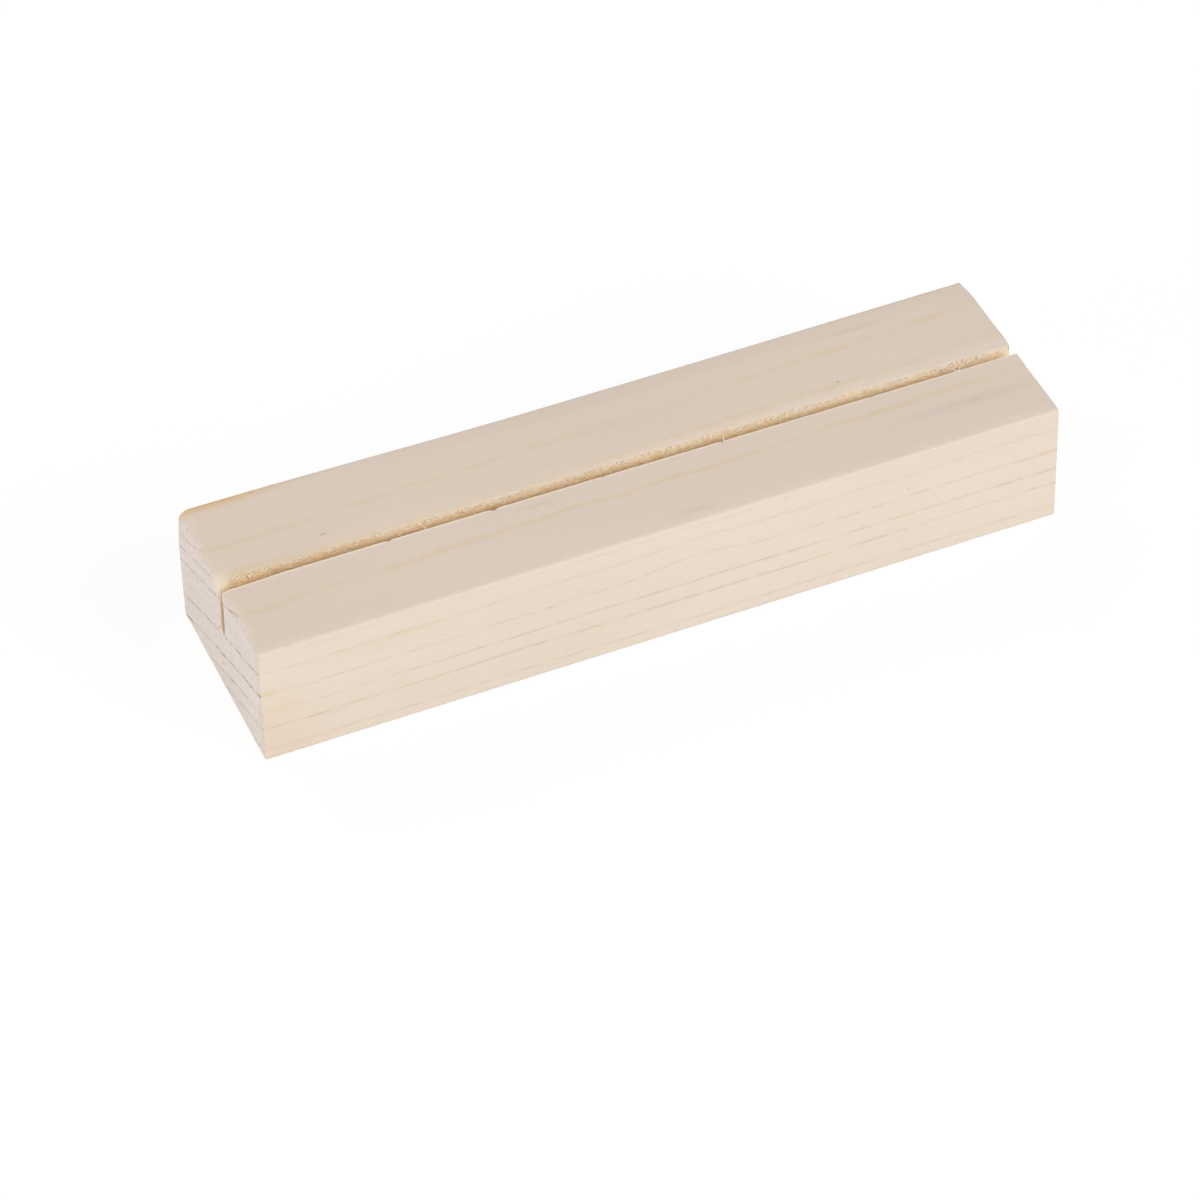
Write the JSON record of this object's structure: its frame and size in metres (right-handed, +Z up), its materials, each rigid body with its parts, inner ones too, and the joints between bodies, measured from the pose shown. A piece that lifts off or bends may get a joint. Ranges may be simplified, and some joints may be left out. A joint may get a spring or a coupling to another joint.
{
  "type": "photo block holder",
  "caption": "Oblong softwood block with a narrow leaning slot sawn along its top, which holds a photo or card upright on a table.",
  "frame": {"origin": "centre of the bottom face, on the surface that the block stands on", "axes": "+X along the block's length and its slot, +Y towards the side with the rounded top edge, +Z up"},
  "size_m": [0.1, 0.027, 0.0165],
  "materials": {
    "pale_softwood": "sanded and left bare, with straight grain along the length"
  },
  "bodies": {
    "root": {"slotted_block": "pale_softwood"}
  },
  "joints": []
}
